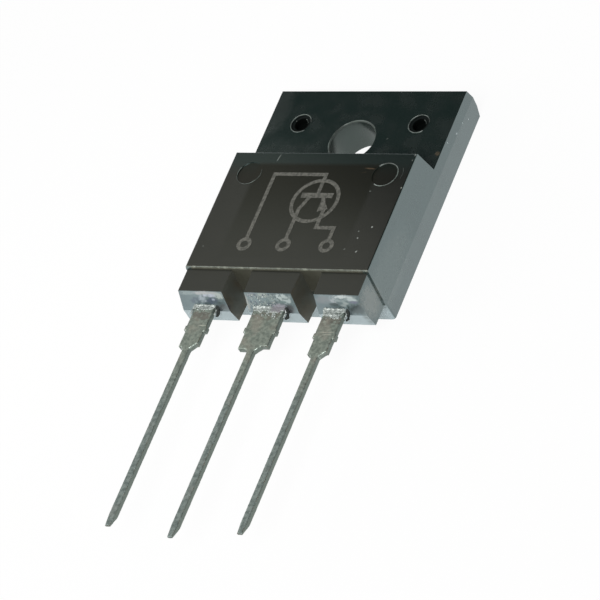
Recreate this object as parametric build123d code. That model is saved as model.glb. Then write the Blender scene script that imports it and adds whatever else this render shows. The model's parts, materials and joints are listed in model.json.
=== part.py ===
from build123d import *
import os
from math import radians, tan

# Fully moulded three-lead power transistor, isolated TO-3P outline. Millimetres and degrees.
#
# Frame: the origin is on the mounting hole's axis in the flat back face. +Z leaves the marked
# front face, +Y points to the end of the mounting tab and -Y runs down the leads. Every height
# is measured up from the back face. The epoxy is moulded around the parts inside it, so each
# buried part fills its own cavity exactly.

# --- Moulded case: overall form ---------------------------------------------------------------
case_thickness = 5.0  # back face to marked front face
front_width = 15.3  # across the marked face, at its front edges
block_length = 10.5  # marked face, along the leads
block_offset = 2.95  # mounting hole axis to the marked face's upper edge
tab_thickness = 2.75
tab_reach = 4.65  # mounting hole axis to the tab's end, at the tab's front surface
parting_height = 1.9  # where the two mould halves meet
side_draft = 5.5  # both long sides, above the parting line
block_top_draft = 9.0  # step from the tab up to the marked face
block_foot_draft = 12.0  # end that faces the leads
tab_end_draft = 10.0
back_draft = 5.5  # all that lies below the parting line
tab_bevel_height = 0.95  # bevel on the back edge of the tab's end
tab_bevel_depth = 0.22
heel_corner_radius = 0.25  # corners at the lead end, below the parting line
front_edge_radius = 0.1

# --- Stand-offs: three blocks at the lead end, parted by two slots ----------------------------
standoff_recess = 0.25  # their front face, below the marked face
standoff_length = 2.0  # along the leads, at that front face
standoff_inset = 0.13  # their outer sides, in from the case sides
ridge_height = 3.1  # line that the end faces rise to, where the leads leave
ridge_draft = 17.0  # end face in front of the ridge
heel_draft = 4.5  # end face behind the ridge
slot_spacing = 5.82  # centre to centre
slot_width = 1.92  # at the open end, on the front face
slot_draft = 6.0  # walls close in towards the back
slot_flare = 3.0  # walls open out towards the leads

# --- Holes and mould marks --------------------------------------------------------------------
hole_diameter = 3.6  # clears an M3 screw
hole_rim_chamfer = 0.06
pin_mark_diameter = 1.6  # shallow seats left by the pins that held the header
pin_mark_depth = 0.12
pin_hole_diameter = 1.05  # runs on down almost to the header
pin_hole_skin = 0.1  # epoxy left between its floor and the header
pin_spacing = 10.06
pin_offset = 1.6  # from the mounting hole axis towards the tab's end
ejector_diameter = 2.05
ejector_depth = 0.06
ejector_spacing = 11.45
ejector_inset = 1.93  # centre to the marked face's upper edge

# --- Lead frame -------------------------------------------------------------------------------
lead_pitch = 5.45
lead_thickness = 0.4
lead_height = 3.15  # back faces of the leads
lead_width = 0.5  # slender outer length
frame_shift = -0.2  # how far off the case's centre line the frame was moulded in
outer_root_width = 1.62
middle_root_width = 2.48
root_length = 3.55  # broad part, out from the ridge
dam_bar_offset = 1.7  # ridge to the cut stub of the dam bar
dam_bar_width = 0.4
dam_bar_stub = 0.09
root_narrowing = 0.08  # each side, beyond the dam bar
shoulder_radius = 0.36  # inner corner of the -X shoulders
shoulder_chamfer = 0.44  # inner corner of the +X shoulders
shoulder_stagger = 0.29  # the +X shoulders are that much nearer to the case
emitter_stub_drop = 0.3  # stub and shoulders of the emitter lead, further out than the others
neck_shift = -0.07  # the slender length, off the middle of the root
lead_reach = 19.0  # ridge to the tips of the outer leads
middle_lead_extra = 0.6
tip_length = 0.95
tip_width = 0.36
tip_thickness = 0.14  # the tips are chiselled from behind

# --- Copper header and the joggle that joins it to the middle lead ----------------------------
header_thickness = 1.4
header_cover = 0.65  # epoxy behind the header, which isolates it from the heat sink
header_width = 12.6
header_top_reach = 3.2  # mounting hole axis to the header's upper edge
header_bottom_reach = 11.4
header_corner_radius = 0.7
hole_wall = 1.1  # epoxy between the screw hole and the header
lock_notch_diameter = 1.3  # round bites in the header's sides that key it into the epoxy
lock_notch_offset = 3.4  # below the mounting hole axis
joggle_run = 1.25  # along the leads, while the strip drops to the header
joggle_lap = 0.8  # strip that lies in the header
joggle_bend_radius = 0.45
joggle_start = 0.55  # straight strip inside the block before the first bend

# --- Bond posts of the two outer leads --------------------------------------------------------
post_width = 2.8
post_length = 2.1
post_lean = 0.35  # the posts sit nearer the middle than their leads do
post_radius = 0.3
post_burial = 0.45  # case end face to the post's near edge
anchor_hole_diameter = 0.8
bond_inset = 1.3  # the post's near edge to the bonds on it

# --- Die, its solder and the bond wires -------------------------------------------------------
die_size = 4.4
die_thickness = 0.28
die_offset = 7.1  # mounting hole axis to die centre
solder_thickness = 0.06
solder_margin = 0.25
base_pad_offset = 1.3  # die centre to the base bond, both towards the base lead and the leads' end
emitter_pad_across = 0.9  # die centre to the middle of the two emitter bonds
emitter_pad_along = 0.45
base_wire_diameter = 0.25
emitter_wire_diameter = 0.4
emitter_wire_gap = 1.3  # between the two emitter wires
wire_facets = 12  # flats that stand for the wires' round section
wire_loop_height = 0.55  # underside of the loop above the bond posts
bond_foot_length = 2.6  # the pressed feet, in wire diameters
bond_foot_width = 1.5
bond_foot_height = 0.5

cut_margin = 1.0  # how far a cutting tool runs past what it cuts
hair = 0.01  # clear of an exact coincidence


def spread(rise, draft):
    """How far a drafted wall moves sideways over a given rise."""
    return rise * tan(radians(draft))


# --- Places worked out from the sizes above ---------------------------------------------------
front_half = front_width / 2
parting_half = front_half + spread(case_thickness - parting_height, side_draft)
back_half = parting_half - spread(parting_height, back_draft)

block_top_y = -block_offset
block_end_y = block_top_y - block_length
block_step_y = block_top_y + spread(case_thickness - tab_thickness, block_top_draft)
parting_end_y = block_end_y - spread(case_thickness - parting_height, block_foot_draft)
parting_top_y = tab_reach + spread(tab_thickness - parting_height, tab_end_draft)

standoff_top = case_thickness - standoff_recess
standoff_end_y = block_end_y - standoff_length
ridge_y = standoff_end_y - spread(standoff_top - ridge_height, ridge_draft)
heel_y = ridge_y + spread(ridge_height - parting_height, heel_draft)

lead_front = lead_height + lead_thickness
header_top = header_cover + header_thickness
die_back = header_top + solder_thickness
die_front = die_back + die_thickness
post_y = block_end_y + post_burial
strip_bend_y = block_end_y + joggle_start


def face_at(height, points):
    """A flat face with the given (x, y) corners, level with the back face at a height."""
    return Pos(0, 0, height) * make_face(Polyline(*points, close=True))


def across(points, half_width):
    """A solid with the given (y, z) outline that runs across the case in X."""
    return extrude(Plane.YZ * make_face(Polyline(*points, close=True)), half_width, both=True)


def along(points, half_length):
    """A solid with the given (x, z) outline that runs along the case in Y."""
    return extrude(Plane.XZ * make_face(Polyline(*points, close=True)), half_length, both=True)


def mirrored(half_points):
    """A closed outline from its +X half, mirrored in X = 0."""
    return half_points + [(-x, other) for x, other in reversed(half_points)]


def edge_runs(edge, axis, steepness=0.8):
    """Whether an edge runs mostly along one of the part's axes."""
    return abs((edge @ 1 - edge @ 0).normalized().dot(axis)) > steepness


# --- Moulded case -----------------------------------------------------------------------------
def case_blank():
    """Tab and raised block, drafted away from the parting line, where the mould halves meet."""
    length = max(parting_top_y, -parting_end_y) + cut_margin
    profile = across(
        [
            (parting_end_y + spread(parting_height, back_draft), 0),
            (parting_top_y - tab_bevel_depth, 0),
            (parting_top_y, tab_bevel_height),
            (parting_top_y, parting_height),
            (tab_reach, tab_thickness),
            (block_step_y, tab_thickness),
            (block_top_y, case_thickness),
            (block_end_y, case_thickness),
            (parting_end_y, parting_height),
        ],
        parting_half + cut_margin,
    )
    sides = mirrored([(back_half, 0), (parting_half, parting_height), (front_half, case_thickness)])
    blank = profile & along(sides, length)
    parting = Plane.XY.offset(parting_height)
    front = split(blank, bisect_by=parting, keep=Keep.TOP)
    rim = front.faces().sort_by(Axis.Z)[-1].outer_wire().edges()
    back = split(blank, bisect_by=parting, keep=Keep.BOTTOM)
    upright = back.edges().filter_by(lambda e: edge_runs(e, Vector(0, 0, 1)))
    return fillet(rim, front_edge_radius) + fillet(upright.group_by(Axis.Y)[0], heel_corner_radius)


def slot_tool(centre_x):
    """Wedge that cuts one slot: narrower towards the back and towards the block."""
    top, bottom = standoff_top + cut_margin, parting_height - cut_margin
    near_y, far_y = block_end_y + cut_margin, ridge_y - cut_margin

    def section(height):
        mouth = slot_width / 2 - spread(standoff_top - height, slot_draft)
        near = mouth - spread(near_y - standoff_end_y, slot_flare)
        far = mouth + spread(standoff_end_y - far_y, slot_flare)
        points = mirrored([(near, near_y), (far, far_y)])
        return face_at(height, [(centre_x + x, y) for x, y in points])

    return loft([section(bottom), section(top)], ruled=True)


def standoffs():
    """The three stand-offs as one bar whose slots are cut before it joins the case."""
    bar = across(
        [
            (block_end_y + cut_margin, parting_height),
            (heel_y, parting_height),
            (ridge_y, ridge_height),
            (standoff_end_y, standoff_top),
            (block_end_y + cut_margin, standoff_top),
        ],
        parting_half,
    )
    low = parting_half - standoff_inset
    high = low - spread(standoff_top - parting_height, side_draft)
    bar &= along(mirrored([(low, parting_height), (high, standoff_top)]), -ridge_y + cut_margin)
    for side in (-1, 1):
        bar -= slot_tool(side * slot_spacing / 2)
    return bar


def screw_hole_tool():
    """Through hole, sharp at the back face and with a small chamfer at the front rim."""
    radius = hole_diameter / 2
    wide = radius + hole_rim_chamfer
    outline = [
        (0, -cut_margin),
        (radius, -cut_margin),
        (radius, tab_thickness - hole_rim_chamfer),
        (wide, tab_thickness),
        (wide, tab_thickness + cut_margin),
        (0, tab_thickness + cut_margin),
    ]
    return revolve(Plane.XZ * make_face(Polyline(*outline, close=True)), Axis.Z)


def round_tool(diameter, x, y, bottom, top):
    """A round cutting tool between two heights."""
    centre = (Align.CENTER, Align.CENTER, Align.MIN)
    return Pos(x, y, bottom) * Cylinder(diameter / 2, top - bottom, align=centre)


def case_shell():
    """The case's outside, with its screw hole and mould marks but no cavity yet."""
    shell = case_blank() + standoffs()
    shell -= screw_hole_tool()
    mark_floor = tab_thickness - pin_mark_depth
    ejector_y = block_top_y - ejector_inset
    ejector_floor = case_thickness - ejector_depth
    hole_floor = header_top + pin_hole_skin
    for side in (-1, 1):
        pin_x = side * pin_spacing / 2
        shell -= round_tool(pin_mark_diameter, pin_x, pin_offset, mark_floor, tab_thickness + cut_margin)
        shell -= round_tool(pin_hole_diameter, pin_x, pin_offset, hole_floor, tab_thickness)
        ejector_x = side * ejector_spacing / 2
        top = case_thickness + cut_margin
        shell -= round_tool(ejector_diameter, ejector_x, ejector_y, ejector_floor, top)
    return shell


# --- Lead frame -------------------------------------------------------------------------------
def neck_corner(side, stub_y):
    """Inner corner of one shoulder (side -1 or 1), where the slender length begins."""
    stagger = shoulder_stagger if side > 0 else 0
    return side * lead_width / 2 + neck_shift, stub_y + dam_bar_offset - root_length + stagger


def lead_side(side, root_width, stub_y, tip_y):
    """Points down one side of a lead on X = 0 (side -1 or 1): root, stub, shoulder, slender tip."""
    half = root_width / 2
    lower = half - root_narrowing
    slender, shoulder_y = neck_corner(side, stub_y)
    return [
        (side * half, stub_y),
        (side * (half + dam_bar_stub), stub_y),
        (side * (half + dam_bar_stub), stub_y - dam_bar_width),
        (side * lower, stub_y - dam_bar_width),
        (side * lower, shoulder_y),
        (slender, shoulder_y),
        (slender, tip_y + tip_length),
        (side * tip_width / 2 + neck_shift, tip_y),
    ]


def nearest_vertex(face, place):
    """The face's vertex nearest to an (x, y) place at the height of the leads' back faces."""
    return min(face.vertices(), key=lambda v: (Vector(v) - Vector(*place, lead_height)).length)


def lead_strip(inner_y, root_width, stub_drop, tip_y):
    """Flat lead on X = 0: broad root, dam bar stub, two shoulders and a chiselled tip."""
    half = root_width / 2
    stub_y = ridge_y - dam_bar_offset - stub_drop
    left = lead_side(-1, root_width, stub_y, tip_y)
    right = lead_side(1, root_width, stub_y, tip_y)
    flat = face_at(lead_height, [(-half, inner_y), *left, *reversed(right), (half, inner_y)])
    neck_half = lead_width / 2 + abs(neck_shift)
    room = half - root_narrowing - neck_half - hair
    flat = fillet(nearest_vertex(flat, neck_corner(-1, stub_y)), min(shoulder_radius, room))
    flat = chamfer(nearest_vertex(flat, neck_corner(1, stub_y)), min(shoulder_chamfer, room))
    strip = extrude(flat, lead_thickness, dir=(0, 0, 1))
    chisel = [
        (tip_y - cut_margin, lead_height - cut_margin),
        (tip_y - cut_margin, lead_front - tip_thickness),
        (tip_y, lead_front - tip_thickness),
        (tip_y + tip_length, lead_height),
        (tip_y + tip_length, lead_height - cut_margin),
    ]
    return strip - across(chisel, root_width)


def outer_lead(side):
    """Base lead (side -1) or emitter lead (side 1) with its bond post, stamped from thin strip."""
    near_y = post_y + post_length / 2
    drop = emitter_stub_drop if side > 0 else 0
    lead = lead_strip(near_y, outer_root_width, drop, ridge_y - lead_reach)
    post = Pos(-side * post_lean, near_y, lead_height) * RectangleRounded(
        post_width, post_length, post_radius
    )
    lead += extrude(post, lead_thickness, dir=(0, 0, 1))
    anchor_y = post_y + anchor_hole_diameter
    lead -= round_tool(anchor_hole_diameter, 0, anchor_y, lead_height - cut_margin, lead_front + cut_margin)
    return Pos(frame_shift + side * lead_pitch, 0, 0) * lead


def header_plate():
    """Thick copper plate under the die, open round the screw hole and keyed at its sides."""
    length = header_top_reach + header_bottom_reach
    plate = Pos(0, header_top_reach - length / 2) * RectangleRounded(
        header_width, length, header_corner_radius
    )
    plate -= Circle(hole_diameter / 2 + hole_wall)
    for side in (-1, 1):
        plate -= Pos(side * header_width / 2, -lock_notch_offset) * Circle(lock_notch_diameter / 2)
    return extrude(Pos(0, 0, header_cover) * plate, header_thickness, dir=(0, 0, 1))


def joggle():
    """Strip that drops from the middle lead to the header's top in two bends."""
    upper = lead_height + lead_thickness / 2
    lower = header_top - lead_thickness / 2
    landing_y = strip_bend_y + joggle_run
    path = FilletPolyline(
        (frame_shift, block_end_y, upper),
        (frame_shift, strip_bend_y, upper),
        (frame_shift, landing_y, lower),
        (frame_shift, max(landing_y, -header_bottom_reach) + joggle_lap, lower),
        radius=joggle_bend_radius,
    )
    start = Plane(origin=path @ 0, x_dir=(1, 0, 0), z_dir=path % 0)
    return sweep(start * Rectangle(middle_root_width, lead_thickness), path=path)


def collector_frame():
    """Header, joggle and middle lead: one stamping from copper strip of two thicknesses."""
    tip_y = ridge_y - lead_reach - middle_lead_extra
    lead = lead_strip(block_end_y, middle_root_width, 0, tip_y)
    return header_plate() + joggle() + Pos(frame_shift, 0, 0) * lead


# --- Die and bond wires -----------------------------------------------------------------------
def die_slab(size, bottom, height):
    """Square slab centred on the die's place."""
    seated = (Align.CENTER, Align.CENTER, Align.MIN)
    return Pos(0, -die_offset, bottom) * Box(size, size, height, align=seated)


def transistor_die():
    """Silicon die, soldered to the header between the screw hole and the leads."""
    return die_slab(die_size, die_back, die_thickness)


def die_solder():
    """Thin sheet of solder that shows all round the die."""
    return die_slab(die_size + 2 * solder_margin, header_top, solder_thickness)


def bond_wire(diameter, die_xy, post_xy):
    """Aluminium wire that arches from the die to a bond post, pressed flat at both ends."""
    foot_height = bond_foot_height * diameter
    start = Vector(*die_xy, die_front + foot_height / 2)
    finish = Vector(*post_xy, lead_front + foot_height / 2)
    middle = (start + finish) / 2
    crown = Vector(middle.X, middle.Y, lead_front + wire_loop_height + diameter / 2)
    arch = ThreePointArc(start, crown, finish)
    section = RegularPolygon(diameter / 2, wire_facets)
    wire = sweep(Plane(origin=arch @ 0, z_dir=arch % 0) * section, path=arch)
    ahead = Vector(finish.X - start.X, finish.Y - start.Y, 0)
    foot = Box(bond_foot_length * diameter, bond_foot_width * diameter, foot_height)
    lowered = (Align.CENTER, Align.CENTER, Align.MAX)
    for end in (start, finish):
        seat = Plane(origin=end, x_dir=ahead, z_dir=(0, 0, 1))
        wire += seat * foot
        wire -= seat * Pos(0, 0, -foot_height / 2) * Box(*foot.bounding_box().size, align=lowered)
    return wire


def post_bond(side):
    """Middle of the bonds on the base post (side -1) or the emitter post (side 1), in X and Y."""
    return frame_shift + side * (lead_pitch - post_lean), post_y + bond_inset


def base_bond_wire():
    """The single thin wire to the base lead."""
    die_xy = (-base_pad_offset, -die_offset - base_pad_offset)
    return bond_wire(base_wire_diameter, die_xy, post_bond(-1))


def emitter_bond_wire(place):
    """One of the two emitter wires, placed either side of their middle (place -1 or 1)."""
    offset = place * emitter_wire_gap / 2
    post_x, bond_y = post_bond(1)
    die_xy = (emitter_pad_across + offset, -die_offset - emitter_pad_along)
    return bond_wire(emitter_wire_diameter, die_xy, (post_x + offset, bond_y))


def build_parts():
    """Every separate piece by name; the case is moulded round all the others."""
    parts = {
        "collector_frame": collector_frame(),
        "base_lead": outer_lead(-1),
        "emitter_lead": outer_lead(1),
        "die_solder": die_solder(),
        "transistor_die": transistor_die(),
        "base_bond_wire": base_bond_wire(),
        "emitter_bond_wire_1": emitter_bond_wire(-1),
        "emitter_bond_wire_2": emitter_bond_wire(1),
    }
    case = case_shell()
    for buried in parts.values():
        case -= buried
    return {"moulded_case": case, **parts}


os.makedirs("parts", exist_ok=True)
for name, shape in build_parts().items():
    export_step(shape, f"parts/{name}.step")
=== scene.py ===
"""Looks of a fully moulded three-lead power transistor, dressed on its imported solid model.

The solids give every size. This script adds the finishes, the solder that the leads were dipped in,
the flux and solder left at their roots, the fine flash of the mould and a plain printed diagram.
Pieces are worked on a bench in millimetres, and each is brought into the frame's metres at the end.
"""

import json
import logging
import math
import random
from collections.abc import Iterator
from contextlib import contextmanager
from dataclasses import dataclass, field
from enum import Enum
from typing import ClassVar

import bmesh
import bpy
from mathutils import Euler, Matrix, Vector


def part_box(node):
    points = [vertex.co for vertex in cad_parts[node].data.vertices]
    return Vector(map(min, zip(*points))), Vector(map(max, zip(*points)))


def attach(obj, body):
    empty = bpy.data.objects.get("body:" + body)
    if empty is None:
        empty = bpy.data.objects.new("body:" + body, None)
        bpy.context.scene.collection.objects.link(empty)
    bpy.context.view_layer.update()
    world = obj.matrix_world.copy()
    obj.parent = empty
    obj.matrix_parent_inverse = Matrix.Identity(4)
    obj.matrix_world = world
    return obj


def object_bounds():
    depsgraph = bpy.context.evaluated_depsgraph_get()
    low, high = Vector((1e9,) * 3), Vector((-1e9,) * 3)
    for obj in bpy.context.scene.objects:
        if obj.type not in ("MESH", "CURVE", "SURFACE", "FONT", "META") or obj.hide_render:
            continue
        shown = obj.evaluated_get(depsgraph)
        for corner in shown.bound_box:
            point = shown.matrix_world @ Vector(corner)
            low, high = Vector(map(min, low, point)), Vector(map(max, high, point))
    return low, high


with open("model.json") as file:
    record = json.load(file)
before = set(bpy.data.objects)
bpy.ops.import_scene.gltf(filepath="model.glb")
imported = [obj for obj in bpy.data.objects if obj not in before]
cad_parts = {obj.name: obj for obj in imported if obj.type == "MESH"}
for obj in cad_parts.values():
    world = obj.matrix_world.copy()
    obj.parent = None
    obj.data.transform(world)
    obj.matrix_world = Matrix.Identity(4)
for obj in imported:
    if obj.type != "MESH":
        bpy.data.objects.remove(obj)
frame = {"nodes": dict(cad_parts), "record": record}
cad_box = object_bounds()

MM = 0.001  # metres in a millimetre
BODY = "root"
SEED = 20
NECK_SHIFT = 0.07  # millimetres from a lead's slender length to the middle of its root
LEAD_FRONT = 3.55  # millimetres from the back face to the leads' front faces
TAB_FRONT = 2.75  # millimetres from the back face to the tab's front
SHARP = 0.01  # millimetres, half the width of a zone's sharp limit
NOISE_SWING = (0.35, 0.65)  # where a noise's values swing most
NOISE_RANGE = (0.3, 0.7)  # all but the rarest of its values
SPOT_EDGE = (0.05, 0.6)  # nearness where a spot starts and where it is full
HOLE = (0.0, 0.0)  # middle of the screw hole, in millimetres
PIN = (5.03, 1.6)  # middle of the blind hole on the +X side
EJECTOR = (5.725, 4.88)  # distances from the screw hole's middle to an ejector mark's
EJECTOR_RADIUS = 1.0

log = logging.getLogger("transistor")
Point = tuple[float, float]
Point3 = tuple[float, float, float]
Socket = bpy.types.NodeSocket


# --- Frame ------------------------------------------------------------------------------------
def node_box(name: str) -> tuple[Vector, Vector]:
    """Lowest and highest corners of a solid.

    Args:
        name: The solid's node.

    Returns:
        Both corners in millimetres.
    """
    low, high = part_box(name)
    return low / MM, high / MM


def mount_place(name: str) -> Vector:
    """Place of one of the record's mounts.

    Args:
        name: The mount's name.

    Returns:
        Its position in millimetres.
    """
    for mount in frame["record"]["mounts"]:
        if mount["name"] == name:
            return Vector(mount["pos_m"]) / MM
    raise KeyError(name)


# --- Shader tools -----------------------------------------------------------------------------
def linear(code: str) -> tuple[float, float, float, float]:
    """Turns a hex sRGB colour into linear light.

    Args:
        code: Six hex digits, with or without a leading hash.

    Returns:
        Red, green, blue and an alpha of one.
    """
    digits = code.lstrip("#")
    shares = [int(digits[i : i + 2], 16) / 255 for i in (0, 2, 4)]
    light = [s / 12.92 if s <= 0.04045 else ((s + 0.055) / 1.055) ** 2.4 for s in shares]
    return (*light, 1.0)


def empty_material(name: str) -> bpy.types.Material:
    """A new material with no nodes yet, under the name of the real finish."""
    material = bpy.data.materials.new(name)
    material.use_nodes = True
    material.node_tree.nodes.clear()
    return material


@dataclass
class Shader:
    """A node tree, and the measures of the surface that it holds so far."""

    tree: bpy.types.NodeTree
    measures: dict["Measure", Socket] = field(default_factory=dict)

    def add(
        self,
        kind: str,
        settings: dict[str, object] | None = None,
        inputs: dict[str | int, object] | None = None,
    ) -> bpy.types.Node:
        """Adds a node with its settings and its inputs.

        Args:
            kind: Blender's name for the kind of node.
            settings: Attributes to set, by name.
            inputs: Inputs by name or number. A socket is linked and anything else is set.

        Returns:
            The new node.
        """
        node = self.tree.nodes.new(kind)
        for name, value in (settings or {}).items():
            setattr(node, name, value)
        for key, value in (inputs or {}).items():
            if isinstance(value, Socket):
                self.tree.links.new(value, node.inputs[key])
            else:
                node.inputs[key].default_value = value
        return node

    def read(self, measure: "Measure") -> Socket:
        """Value of a measure, whose nodes are added only once.

        Args:
            measure: What to read.

        Returns:
            The socket that gives it.
        """
        if measure not in self.measures:
            self.measures[measure] = measure.build(self)
        return self.measures[measure]

    def over(self, share: Socket, lower: object, upper: object) -> Socket:
        """Lays one colour over another as far as a share says."""
        inputs = {0: share, 6: lower, 7: upper}
        return self.add("ShaderNodeMix", {"data_type": "RGBA"}, inputs).outputs[2]


# --- Measures of a surface --------------------------------------------------------------------
@dataclass(frozen=True)
class Measure:
    """A value that changes over a surface. Each kind's build adds the nodes that give it."""

    unit: ClassVar[float] = 1.0

    def build(self, shader: Shader) -> Socket:
        """Adds the nodes that give the value."""
        raise NotImplementedError


@dataclass(frozen=True)
class Place(Measure):
    """The place in the object's own space, in metres."""

    def build(self, shader: Shader) -> Socket:
        """Adds the node that gives the place."""
        return shader.add("ShaderNodeTexCoord").outputs["Object"]


@dataclass(frozen=True)
class Along(Measure):
    """The distance along an axis."""

    unit: ClassVar[float] = MM
    axis: str

    def build(self, shader: Shader) -> Socket:
        """Adds the node that picks one axis."""
        parts = shader.add("ShaderNodeSeparateXYZ", inputs={0: shader.read(Place())})
        return parts.outputs[self.axis]


@dataclass(frozen=True)
class Around(Measure):
    """The distance across the front to a point or to its nearest mirror image over X and Y."""

    unit: ClassVar[float] = MM
    centre: Point

    def build(self, shader: Shader) -> Socket:
        """Adds the nodes that fold the place onto one quarter and measure there.

        Args:
            shader: Shader that takes them.

        Returns:
            The distance in metres.
        """
        kind = "ShaderNodeVectorMath"
        middle = Vector((*self.centre, 0)) * MM
        folded = shader.add(kind, {"operation": "ABSOLUTE"}, {0: shader.read(Place())}).outputs[0]
        flat = shader.add(kind, {"operation": "MULTIPLY"}, {0: folded, 1: (1, 1, 0)}).outputs[0]
        return shader.add(kind, {"operation": "DISTANCE"}, {0: flat, 1: middle}).outputs["Value"]


@dataclass(frozen=True)
class Facing(Measure):
    """How squarely the surface looks one way: one straight on and nothing edgewise."""

    direction: Point3

    def build(self, shader: Shader) -> Socket:
        """Adds the nodes that compare the normal with the direction.

        Args:
            shader: Shader that takes them.

        Returns:
            The cosine between the two.
        """
        normal = shader.add("ShaderNodeNewGeometry").outputs["Normal"]
        settings = {"operation": "DOT_PRODUCT"}
        dot = shader.add("ShaderNodeVectorMath", settings, {0: normal, 1: self.direction})
        return dot.outputs["Value"]


@dataclass(frozen=True)
class Grain(Measure):
    """One scale of relief or mottling: a noise from 0 to 1."""

    size_mm: float
    height_mm: float = 0.0
    detail: float = 2.0
    stretch: Point3 = (1.0, 1.0, 1.0)

    def build(self, shader: Shader) -> Socket:
        """Adds the noise, whose cells are about its size across.

        Args:
            shader: Shader that takes it.

        Returns:
            The noise value.
        """
        inputs = {"Vector": shader.read(Place()), "Scale": self.stretch}
        turned = shader.add("ShaderNodeMapping", inputs=inputs).outputs["Vector"]
        scale = 1 / (self.size_mm * MM)
        inputs = {"Vector": turned, "Scale": scale, "Detail": self.detail}
        return shader.add("ShaderNodeTexNoise", inputs=inputs).outputs["Fac"]


@dataclass(frozen=True)
class Limit(Measure):
    """How much a limit lets through, smoothly from where it lets none to where it lets all."""

    measure: Measure
    none: float
    full: float
    least: float = 0.0
    most: float = 1.0

    def build(self, shader: Shader) -> Socket:
        """Adds the map from the measure to the share.

        Args:
            shader: Shader that takes it.

        Returns:
            The share, between the least and the most.
        """
        inputs = {
            "Value": shader.read(self.measure),
            "From Min": self.none * self.measure.unit,
            "From Max": self.full * self.measure.unit,
            "To Min": self.least,
            "To Max": self.most,
        }
        mapped = shader.add("ShaderNodeMapRange", {"interpolation_type": "SMOOTHSTEP"}, inputs)
        return mapped.outputs["Result"]


@dataclass(frozen=True)
class Sideways(Measure):
    """How squarely the surface looks to either side, raised unevenly by a grain."""

    grain: Grain
    swing: float = 0.4

    def build(self, shader: Shader) -> Socket:
        """Adds the nodes that join both sides and the grain.

        Args:
            shader: Shader that takes them.

        Returns:
            The value, from nothing to one and the swing.
        """
        right, left = (shader.read(Facing((side, 0, 0))) for side in (1, -1))
        sides = shader.add("ShaderNodeMath", {"operation": "MAXIMUM"}, {0: right, 1: left})
        uneven = shader.read(Limit(self.grain, *NOISE_RANGE))
        inputs = {0: uneven, 1: self.swing, 2: sides.outputs[0]}
        return shader.add("ShaderNodeMath", {"operation": "MULTIPLY_ADD"}, inputs).outputs[0]


@dataclass(frozen=True)
class Spot(Measure):
    """Nearness to the middle of an oval spot, with half its sizes in millimetres."""

    centre: Point3
    half: Point3
    ragged: float = 0.0
    turn: float = 0.0

    def build(self, shader: Shader) -> Socket:
        """Adds a ball of nearness, torn by a grain where it is ragged.

        Args:
            shader: Shader that takes it.

        Returns:
            The nearness: nothing at the rim and one in the middle.
        """
        inputs = {
            "Vector": shader.read(Place()),
            "Location": Vector(self.centre) * MM,
            "Rotation": (0, 0, math.radians(self.turn)),
            "Scale": Vector(self.half) * MM,
        }
        local = shader.add("ShaderNodeMapping", {"vector_type": "TEXTURE"}, inputs)
        inputs = {"Vector": local.outputs["Vector"]}
        ball = shader.add("ShaderNodeTexGradient", {"gradient_type": "SPHERICAL"}, inputs)
        near = ball.outputs["Fac"]
        if self.ragged:
            torn = shader.read(Limit(TORN, *NOISE_SWING, 1 - self.ragged, 1 + self.ragged))
            inputs = {0: near, 1: torn}
            near = shader.add("ShaderNodeMath", {"operation": "MULTIPLY"}, inputs).outputs[0]
        return near


X, Y, Z = (Along(axis) for axis in "XYZ")
UP, AHEAD, RIGHT = (Facing(direction) for direction in ((0, 0, 1), (0, -1, 0), (1, 0, 0)))
TORN = Grain(0.3, detail=4.0)  # what tears the edges of ragged spots


def below(measure: Measure, value: float) -> Limit:
    """A sharp limit that lets all through under a value."""
    return Limit(measure, value + SHARP, value - SHARP)


def above(measure: Measure, value: float) -> Limit:
    """A sharp limit that lets all through over a value."""
    return Limit(measure, value - SHARP, value + SHARP)


# --- Finishes ---------------------------------------------------------------------------------
@dataclass(frozen=True)
class Layer:
    """What covers a zone of a surface. Whatever it leaves out stays as it is below."""

    zone: tuple[Limit, ...]
    tones: tuple[str, ...] = ()
    tint: str | None = None
    roughness: float | None = None

    def share(self, shader: Shader) -> Socket:
        """How much of the layer shows: all its limits' shares, multiplied.

        Args:
            shader: Shader that takes the nodes.

        Returns:
            The share, from nothing to one.
        """
        share, *others = [shader.read(limit) for limit in self.zone]
        for other in others:
            both = shader.add("ShaderNodeMath", {"operation": "MULTIPLY"}, {0: share, 1: other})
            share = both.outputs[0]
        return share


def mark(
    centre: Point3, half: Point3, tone: str = "#8c918e", ragged: float = 0.0, turn: float = 0.0
) -> Layer:
    """A soft-edged scratch, fleck, cloud or stain in a tone of its own."""
    return Layer((Limit(Spot(centre, half, ragged, turn), *SPOT_EDGE),), (tone,))


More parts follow.
